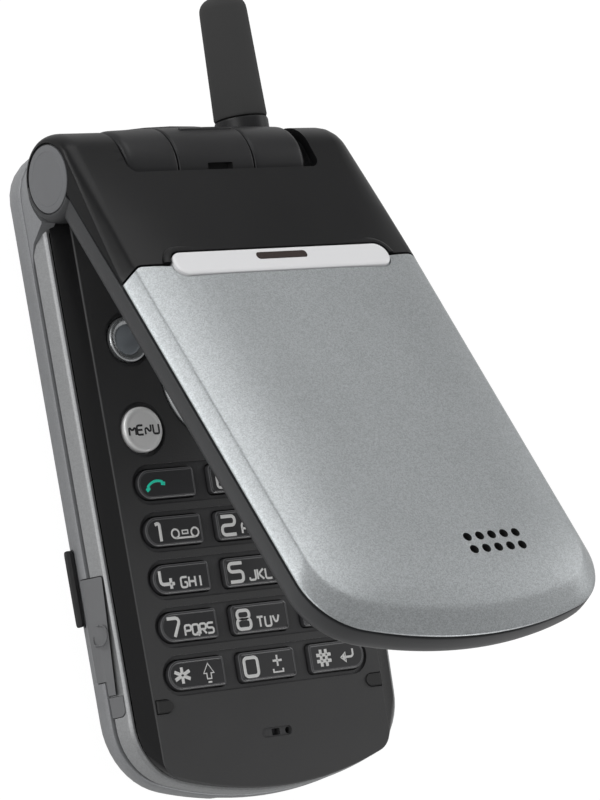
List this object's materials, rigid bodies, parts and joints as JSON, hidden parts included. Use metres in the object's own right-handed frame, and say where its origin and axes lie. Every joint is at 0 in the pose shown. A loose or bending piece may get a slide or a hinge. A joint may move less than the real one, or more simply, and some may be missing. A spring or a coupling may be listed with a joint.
{
  "type": "clamshell telephone",
  "caption": "Clamshell mobile telephone with a stub antenna, a hinged lid, a turning camera in the hinge, press keys and a removable battery pack.",
  "frame": {"origin": "middle of the flat back, on the surface that the phone lies on", "axes": "+Z out of the keypad, +Y along the base towards the antenna, +X to the right of the keypad"},
  "size_m": [0.051, 0.1118, 0.0606],
  "materials": {
    "rear_shell": "satin blue-grey moulding",
    "battery_cover": "satin blue-grey moulding",
    "silver_band": "silver paint",
    "black_case": "fine textured black",
    "circuit_board": "solder mask",
    "tin_plate": "tinned sheet",
    "silicone": "milky silicone",
    "sound_parts": "pressed metal",
    "connector_plastic": "black moulding",
    "antenna_sleeve": "soft black overmould",
    "brass_insert": "turned",
    "steel": "turned",
    "rubber_stops": "matt",
    "lid_black": "fine textured soft black",
    "silver_plate": "metallic silver paint",
    "bright_bar": "bright silver",
    "indicator_window": "dark tinted",
    "inner_shell": "dark grey satin",
    "display_window": "dark tinted window",
    "display_unit": "panel",
    "hinge_cap": "satin grey",
    "flex_film": "polyimide film",
    "camera_housing": "fine textured black",
    "camera_glass": "coated",
    "camera_unit": "black",
    "black_button": "satin black",
    "socket_door": "grey rubber",
    "nav_silver": "silver",
    "ok_silver": "silver",
    "soft_key_silver": "silver with clear dome",
    "menu_white": "pearl white silver",
    "key_dark": "dark translucent caps"
  },
  "bodies": {
    "base": {"rear_case": "rear_shell", "side_band": "silver_band", "key_fascia": "black_case", "hinge_housing": "black_case", "battery_pack": "battery_cover", "main_board": "circuit_board", "shield_cans": "tin_plate", "keypad_mat": "silicone", "microphone": "sound_parts", "system_connector": "connector_plastic", "headset_jack": "connector_plastic", "sim_holder": "tin_plate", "vibration_motor": "sound_parts", "antenna_stub": "antenna_sleeve", "antenna_ferrule": "brass_insert", "case_screws": "steel", "panel_bumpers": "rubber_stops", "hinge_pin": "steel", "door_anchor": "socket_door"},
    "lid": {"lid_cover": "lid_black", "lid_plate": "silver_plate", "lid_bar": "bright_bar", "indicator_lens": "indicator_window", "lid_shell": "inner_shell", "display_glass": "display_window", "display_module": "display_unit", "receiver": "sound_parts", "loudspeaker": "sound_parts", "hinge_caps": "hinge_cap", "hinge_module": "steel", "lid_pads": "rubber_stops", "lid_screws": "steel", "flex_cable": "flex_film"},
    "camera": {"camera_barrel": "camera_housing", "camera_window": "camera_glass", "camera_module": "camera_unit"},
    "battery_latch": {"battery_latch": "black_button"},
    "side_key": {"side_key": "black_button"},
    "headset_door": {"headset_door": "socket_door"},
    "nav_ring": {"nav_ring": "nav_silver"},
    "ok_key": {"ok_key": "ok_silver"},
    "soft_key_left": {"soft_key_left": "soft_key_silver"},
    "soft_key_right": {"soft_key_right": "soft_key_silver"},
    "menu_key": {"menu_key": "menu_white"},
    "clear_key": {"clear_key": "menu_white"},
    "key_call": {"key_call": "key_dark"},
    "key_mid": {"key_mid": "key_dark"},
    "key_end": {"key_end": "key_dark"},
    "key_1": {"key_1": "key_dark"},
    "key_2": {"key_2": "key_dark"},
    "key_3": {"key_3": "key_dark"},
    "key_4": {"key_4": "key_dark"},
    "key_5": {"key_5": "key_dark"},
    "key_6": {"key_6": "key_dark"},
    "key_7": {"key_7": "key_dark"},
    "key_8": {"key_8": "key_dark"},
    "key_9": {"key_9": "key_dark"},
    "key_star": {"key_star": "key_dark"},
    "key_0": {"key_0": "key_dark"},
    "key_hash": {"key_hash": "key_dark"}
  },
  "joints": [
    {"name": "lid_hinge", "type": "hinge", "parent": "base", "child": "lid", "pos_m": [0, 0.04, 0.0158], "axis": [-1, 0, 0], "range_deg": [-30.5, 119.5]},
    {"name": "camera_turn", "type": "hinge", "parent": "base", "child": "camera", "pos_m": [0, 0.04, 0.0158], "axis": [1, 0, 0], "range_deg": [0, 180]},
    {"name": "latch_slide", "type": "slide", "parent": "base", "child": "battery_latch", "axis": [0, 1, 0], "range_m": [0, 0.0018], "stiffness_N_per_m": 500},
    {"name": "side_key_press", "type": "slide", "parent": "base", "child": "side_key", "axis": [1, 0, 0], "range_m": [0, 0.0004], "stiffness_N_per_m": 1000},
    {"name": "headset_door_hinge", "type": "hinge", "parent": "base", "child": "headset_door", "pos_m": [-0.02368, -0.0282, 0.0073], "axis": [0, 0, 1], "range_deg": [0, 100]},
    {"name": "nav_rock", "type": "hinge", "parent": "base", "child": "nav_ring", "pos_m": [0, 0.0131, 0.0106], "axis": [1, 0, 0], "range_deg": [-2.5, 2.5], "stiffness_Nm_per_rad": 0.1},
    {"name": "ok_press", "type": "slide", "parent": "base", "child": "ok_key", "axis": [0, 0, -1], "range_m": [0, 0.0005], "stiffness_N_per_m": 1000},
    {"name": "soft_key_left_press", "type": "slide", "parent": "base", "child": "soft_key_left", "axis": [0, 0, -1], "range_m": [0, 0.0005], "stiffness_N_per_m": 1000},
    {"name": "soft_key_right_press", "type": "slide", "parent": "base", "child": "soft_key_right", "axis": [0, 0, -1], "range_m": [0, 0.0005], "stiffness_N_per_m": 1000},
    {"name": "menu_key_press", "type": "slide", "parent": "base", "child": "menu_key", "axis": [0, 0, -1], "range_m": [0, 0.0005], "stiffness_N_per_m": 1000},
    {"name": "clear_key_press", "type": "slide", "parent": "base", "child": "clear_key", "axis": [0, 0, -1], "range_m": [0, 0.0005], "stiffness_N_per_m": 1000},
    {"name": "key_call_press", "type": "slide", "parent": "base", "child": "key_call", "axis": [0, 0, -1], "range_m": [0, 0.0005], "stiffness_N_per_m": 1000},
    {"name": "key_mid_press", "type": "slide", "parent": "base", "child": "key_mid", "axis": [0, 0, -1], "range_m": [0, 0.0005], "stiffness_N_per_m": 1000},
    {"name": "key_end_press", "type": "slide", "parent": "base", "child": "key_end", "axis": [0, 0, -1], "range_m": [0, 0.0005], "stiffness_N_per_m": 1000},
    {"name": "key_1_press", "type": "slide", "parent": "base", "child": "key_1", "axis": [0, 0, -1], "range_m": [0, 0.0005], "stiffness_N_per_m": 1000},
    {"name": "key_2_press", "type": "slide", "parent": "base", "child": "key_2", "axis": [0, 0, -1], "range_m": [0, 0.0005], "stiffness_N_per_m": 1000},
    {"name": "key_3_press", "type": "slide", "parent": "base", "child": "key_3", "axis": [0, 0, -1], "range_m": [0, 0.0005], "stiffness_N_per_m": 1000},
    {"name": "key_4_press", "type": "slide", "parent": "base", "child": "key_4", "axis": [0, 0, -1], "range_m": [0, 0.0005], "stiffness_N_per_m": 1000},
    {"name": "key_5_press", "type": "slide", "parent": "base", "child": "key_5", "axis": [0, 0, -1], "range_m": [0, 0.0005], "stiffness_N_per_m": 1000},
    {"name": "key_6_press", "type": "slide", "parent": "base", "child": "key_6", "axis": [0, 0, -1], "range_m": [0, 0.0005], "stiffness_N_per_m": 1000},
    {"name": "key_7_press", "type": "slide", "parent": "base", "child": "key_7", "axis": [0, 0, -1], "range_m": [0, 0.0005], "stiffness_N_per_m": 1000},
    {"name": "key_8_press", "type": "slide", "parent": "base", "child": "key_8", "axis": [0, 0, -1], "range_m": [0, 0.0005], "stiffness_N_per_m": 1000},
    {"name": "key_9_press", "type": "slide", "parent": "base", "child": "key_9", "axis": [0, 0, -1], "range_m": [0, 0.0005], "stiffness_N_per_m": 1000},
    {"name": "key_star_press", "type": "slide", "parent": "base", "child": "key_star", "axis": [0, 0, -1], "range_m": [0, 0.0005], "stiffness_N_per_m": 1000},
    {"name": "key_0_press", "type": "slide", "parent": "base", "child": "key_0", "axis": [0, 0, -1], "range_m": [0, 0.0005], "stiffness_N_per_m": 1000},
    {"name": "key_hash_press", "type": "slide", "parent": "base", "child": "key_hash", "axis": [0, 0, -1], "range_m": [0, 0.0005], "stiffness_N_per_m": 1000}
  ]
}
